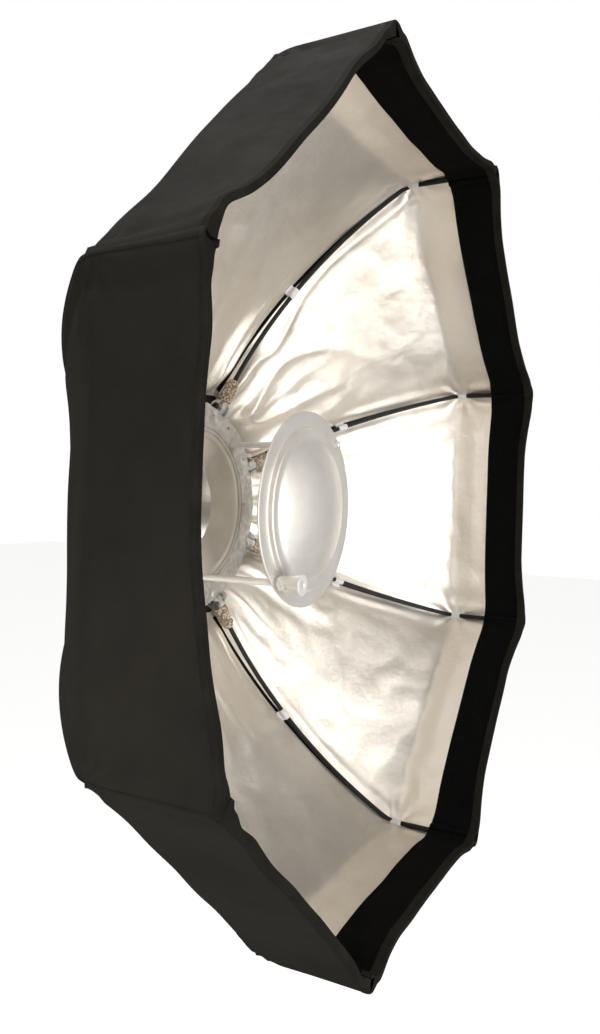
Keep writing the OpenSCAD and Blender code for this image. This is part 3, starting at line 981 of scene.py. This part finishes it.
def make_lobes(paints):
    """The casting's lobed edge: a low swelling between each pair of clevises."""
    steps, edge_r, thick, sunk = 360, 0.0945, 0.0078, -0.006
    lobe, scallop = 0.0032, 0.0006
    front = [(sunk, 0.0004), (0.0, 0.0004), (0.0008, 0.0008), (0.0012, 0.0016)]
    section = front + [(dr, thick - dy) for dr, dy in reversed(front)]
    verts = []
    for i in range(steps):
        turn = 2 * math.pi * i / steps
        phase = (turn / (2 * math.pi) * RIBS) % 1.0
        away = min(phase, 1 - phase) * 2  # 0 half-way between two clevises, 1 at a clevis
        swell = lobe * math.exp(-((away - 0.12) / 0.36) ** 2)
        swell += scallop * math.cos(5 * away * math.pi)
        for dr, dy in section:
            r = edge_r + (swell if dr > sunk else 0) + dr
            verts.append((r * math.cos(turn), PLATE_Y + dy, r * math.sin(turn)))
    faces = grid_faces(steps, len(section), wrap_rows=True, wrap_columns=True)
    piece = face_outwards(add_object("ring_lobes", verts, faces, paints["cast"]))
    settle(piece, "ring", "cast_ring")


def make_dish(paints):
    """The spun deflector: flat flange, rounded step and a shallow dome towards the front."""
    step, rise = 0.0045, 0.015
    wall_r, dome_r = 0.0715, 0.062
    outer_fillet, inner_fillet, ledge_r = 0.0018, 0.0022, wall_r - 0.0024
    front = [(DISH_R - 0.0003, 0.0), (DISH_R - 0.002, 0.0)]
    front += [(r, 0.0) for r in np.linspace(DISH_R - 0.004, wall_r + 0.0022, 5)]
    for t in np.radians(np.linspace(10, 80, 6)):
        front.append((wall_r + outer_fillet - outer_fillet * math.sin(t),
                      outer_fillet * (1 - math.cos(t))))
    for t in np.radians(np.linspace(80, 0, 7)):
        front.append((ledge_r + inner_fillet * math.sin(t), step - inner_fillet * (1 - math.cos(t))))
    ball = (dome_r ** 2 + rise ** 2) / (2 * rise)
    foot = ball - rise
    for t in np.linspace(0.12, 1, 9):
        r = ledge_r - t * (ledge_r - dome_r + 0.004)
        dome = math.sqrt(ball ** 2 - min(r, dome_r) ** 2) - foot
        dip = -0.0005 * math.sin(math.pi * min(1.0, t * 1.05))
        front.append((r, step + dome + dip))
    for r in np.linspace(dome_r - 0.006, 0.0, 40):
        front.append((max(r, CENTRE), step + math.sqrt(ball ** 2 - r * r) - foot))
    back = [(r, h - DISH_SHEET) for r, h in reversed(front)]
    rim = [(DISH_R, -DISH_SHEET * 0.7), (DISH_R, -DISH_SHEET * 0.3)]
    piece = lathe("deflector", front + back + rim, (0, DISH_Y - DISH_SHEET, 0), (0, -1, 0),
                  paints["dish"], steps=160)
    settle(piece, "ring", "dish_metal", "deflector_dish")


def on_post(angle, y):
    return (POST_CIRCLE * math.cos(angle), y, POST_CIRCLE * math.sin(angle))


def make_posts(paints):
    radius, start, end = 0.0030, DISH_Y, SOCKET_Y + 0.0035
    for name, angle, stud_len, nodes in (("upper", POST_ANGLE, 0.0045, ("deflector_posts",)),
                                         ("lower", POST_ANGLE + math.pi, 0.022, ())):
        foot = on_post(angle, 0)
        outline = [(CENTRE, start), (radius - 0.0004, start), (radius, start + 0.0005)]
        outline += [(radius, y) for y in np.linspace(start + 0.002, end - 0.004, 12)]
        outline += [(radius, end - 0.0008), (radius - 0.0003, end), (CENTRE, end)]
        post = lathe(f"post_{name}", outline, foot, (0, 1, 0), paints["post"], steps=40, closed=False)
        settle(post, "ring", "post_metal", *nodes)
        stud = lathe(f"stud_{name}", thread_outline(start - stud_len, start + 0.002), foot, (0, 1, 0),
                     paints["post"], steps=32, closed=False)
        settle(stud, "ring", "post_metal")


def thread_outline(low, high):
    """The outline of a threaded stud between two heights."""
    pitch, root, crest = 0.0007, 0.00155, 0.0019
    outline = [(CENTRE, low), (0.0016, low)]
    count = int((high - low - 0.0004) / pitch * 2)
    for i in range(count):
        outline.append((crest if i % 2 else root, low + 0.0003 + i * pitch / 2))
    return outline + [(0.0016, high), (CENTRE, high)]


def make_thumb(paints):
    """The long thumb knob on the lower post: two collars, a knurled grip and a flared end."""
    bore, collar, neck, grip, end = 0.00205, 0.0055, 0.0046, 0.0065, 0.0240
    grip_foot, grip_top = 0.0034, 0.0102
    outline = [(bore, 0.0), (collar - 0.0003, 0.0), (collar, 0.0003), (collar, 0.0008),
               (neck, 0.0010), (neck, 0.0013), (collar, 0.0015), (collar, 0.0021),
               (neck - 0.0001, 0.0023), (neck - 0.0001, 0.0027), (grip - 0.0003, 0.0030)]
    outline += [(grip, h) for h in np.linspace(grip_foot, grip_top, 20)]
    outline += [(0.0061, 0.0106), (0.0060, 0.0111), (0.0066, 0.0115)]
    outline += [(0.0066 + 0.0020 * t ** 1.4, 0.0115 + 0.0115 * t) for t in np.linspace(0.08, 1, 9)]
    outline += [(0.0087, end - 0.0006), (0.0086, end - 0.0002), (0.0083, end), (0.0060, end),
                (CENTRE, end), (CENTRE, end - 0.0015), (bore, end - 0.0015)]
    knob = lathe("thumb_knob_turned", outline, on_post(POST_ANGLE + math.pi, SEAT_Y), (0, -1, 0),
                 paints["thumb"], steps=112, ripple=knurl(grip_foot, grip_top, 0.0005))
    settle(knob, "thumb_knob", "thumb_metal", "thumb_knob")


def make_nut(paints):
    """The small round nut on the upper post."""
    outline = [(0.0021, 0.0), (0.0033, 0.0), (0.0035, 0.0003), (0.0035, 0.0030), (0.0031, 0.0038),
               (0.0024, 0.0043), (0.00215, 0.0043)]
    nut = lathe("dish_nut_turned", outline, on_post(POST_ANGLE, SEAT_Y), (0, -1, 0), paints["post"],
                steps=48)
    settle(nut, "ring", "post_metal", "dish_nut")


def make_lock_knob(paints):
    """The lock knob under the ring: a shank and a fluted head, from the ring outwards."""
    shank, wide, head, end = 0.0025, 0.0065, 0.0858, 0.1020
    outline = [(CENTRE, 0.076), (shank - 0.0001, 0.076), (shank, 0.0765), (shank, head - 0.0003),
               (0.0045, head), (wide - 0.0006, head + 0.0004), (wide, head + 0.0012)]
    outline += [(wide, h) for h in np.linspace(0.0885, 0.0995, 8)]
    outline += [(wide - 0.0002, end - 0.0012), (wide - 0.0012, end - 0.0003), (wide - 0.003, end),
                (CENTRE, end - 0.0002)]

    def flutes(turn, height):
        return -0.0007 * max(0.0, math.cos(9 * turn)) if 0.0865 < height < 0.1012 else 0.0

    knob = lathe("lock_knob_moulded", outline, (0, -0.003, 0), (0, 0, -1), paints["knob"],
                 steps=108, closed=False, ripple=flutes)
    settle(knob, "lock_knob", "knob_black", "lock_knob")


def make_collar(paints):
    """The cloth facing between the shell's rear edge and the ring's tube."""
    steps, rings = RIBS * 24, 14
    outer, inner, y, thick, pucker = 0.1165, 0.0828, -0.0112, 0.0009, 0.0007
    turn = (2 * math.pi * np.arange(steps) / steps)[:, None]
    inwards = np.linspace(0, 1, rings)
    edge = outer * math.cos(HALF) / np.cos((turn - HALF) % (2 * HALF) - HALF)
    r = edge * (1 - inwards) + inner * inwards
    wave = pucker * np.sin(38 * turn + 2 * np.sin(3 * turn)) * np.sin(math.pi * inwards)
    face = np.stack([r * np.cos(turn), y + wave, r * np.sin(turn)], -1)
    under = face[:, ::-1] - np.array([0, thick, 0])
    verts = np.concatenate([face, under], 1).reshape(-1, 3)
    faces = grid_faces(steps, 2 * rings, wrap_rows=True, wrap_columns=True)
    uv = verts[:, [0, 2]]
    piece = face_outwards(add_object("collar_facing", verts, faces, paints["shell"], uvs=uv))
    settle(piece, "ring", "shell_fabric", "back_collar")


def make_insert(paints):
    piece = refined("insert_ring", "insert_turned", paints["insert"], 0.0004)
    settle(piece, "insert", "insert_metal", "insert_ring")


def make_paints():
    return {
        "shell": black_nylon(), "lining": silver_satin(), "band": loop_pile(),
        "binding": edge_binding(), "tape": edge_binding(), "rod": rod_paint(),
        "cast": cast_metal(), "ribbon": ribbon_paint(), "knob": moulded_black(),
        "pin": satin_metal("blackened_steel", (0.05, 0.05, 0.05), (0.10, 0.10, 0.105),
                           0.38, 0.00002, 0.9),
        "socket": knurled_brass(),
        "insert": satin_metal("turned_insert", (0.74, 0.70, 0.635), (0.84, 0.81, 0.755),
                              0.42, 0.00004, 0.8),
        "dish": satin_metal("spun_aluminium", (0.74, 0.705, 0.665), (0.82, 0.795, 0.76),
                            0.46, 0.00003, 0.55),
        "post": satin_metal("bright_rod", (0.80, 0.80, 0.79), (0.88, 0.88, 0.87), 0.34, 0, 0.6),
        "thumb": satin_metal("thumb_metal", (0.84, 0.83, 0.80), (0.92, 0.91, 0.89), 0.34, 0, 0.3),
    }


def main():
    make_camera()
    make_world()
    make_floor()
    make_lights()
    paints = make_paints()
    make_fabric(paints)
    for n in range(1, RIBS + 1):
        make_rod(n, paints)
        make_socket(n, paints)
        make_loops(n, paints)
    for make in (make_ring, make_insert, make_dish, make_posts, make_thumb, make_nut,
                 make_lock_knob, make_collar):
        make(paints)


main()
